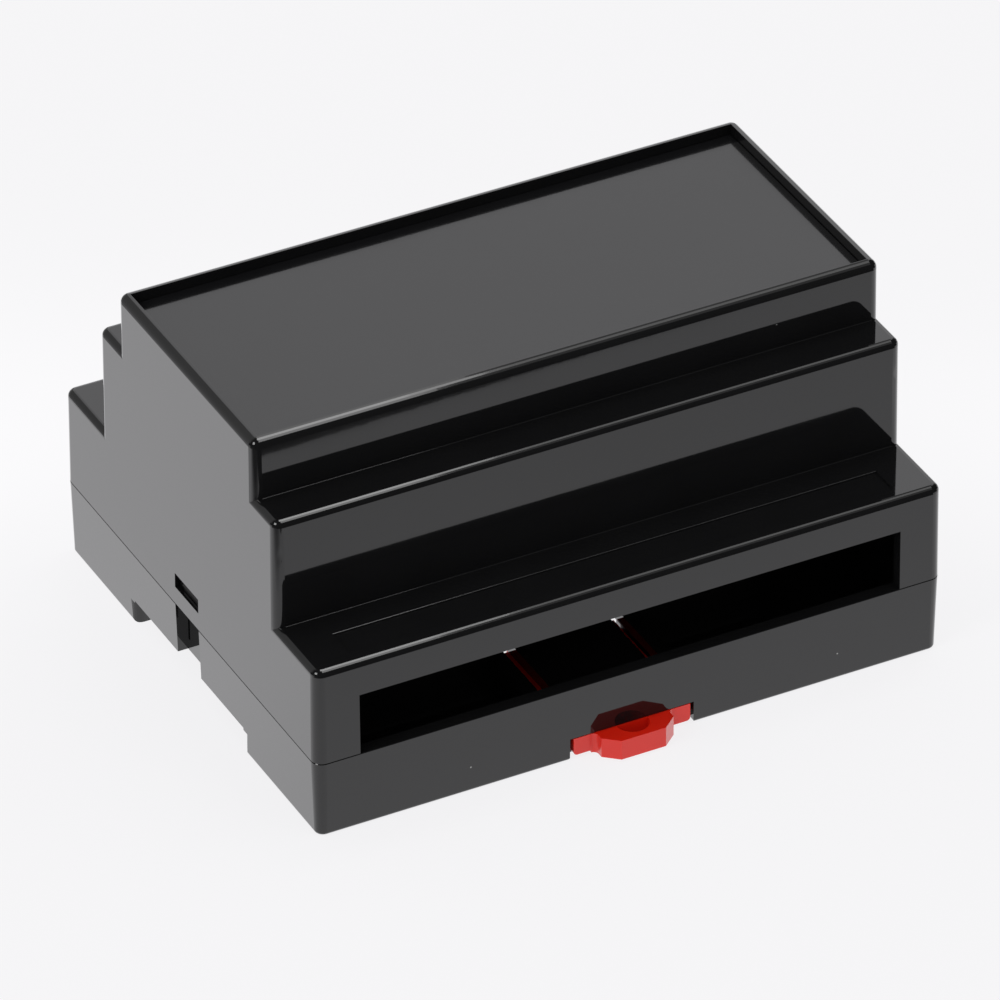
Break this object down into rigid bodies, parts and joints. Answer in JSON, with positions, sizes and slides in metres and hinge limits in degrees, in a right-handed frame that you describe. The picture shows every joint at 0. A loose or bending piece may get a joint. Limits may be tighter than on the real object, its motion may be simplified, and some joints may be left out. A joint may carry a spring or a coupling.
{
  "type": "din rail enclosure",
  "caption": "Stepped snap-fit plastic housing for a 35 mm top-hat rail, with open terminal slots, a recessed front panel and a sliding rail clip.",
  "frame": {"origin": "on the rail seat, over the middle of the rail and half way along the housing", "axes": "+X along the rail, -Y towards the side with the rail clip, +Z away from the rail towards the front panel"},
  "size_m": [0.107, 0.0906, 0.0594],
  "materials": {
    "housing_plastic": "glossy black moulded ABS",
    "panel_plastic": "smooth dark panel with a soft gloss",
    "clip_plastic": "glossy red moulded plastic, slightly translucent"
  },
  "bodies": {
    "housing": {"base": "housing_plastic", "cover": "housing_plastic", "front_panel": "panel_plastic"},
    "clip": {"rail_clip": "clip_plastic"}
  },
  "joints": [
    {"name": "rail_clip_slide", "type": "slide", "parent": "housing", "child": "clip", "axis": [0, -1, 0], "range_m": [0, 0.0045]}
  ]
}
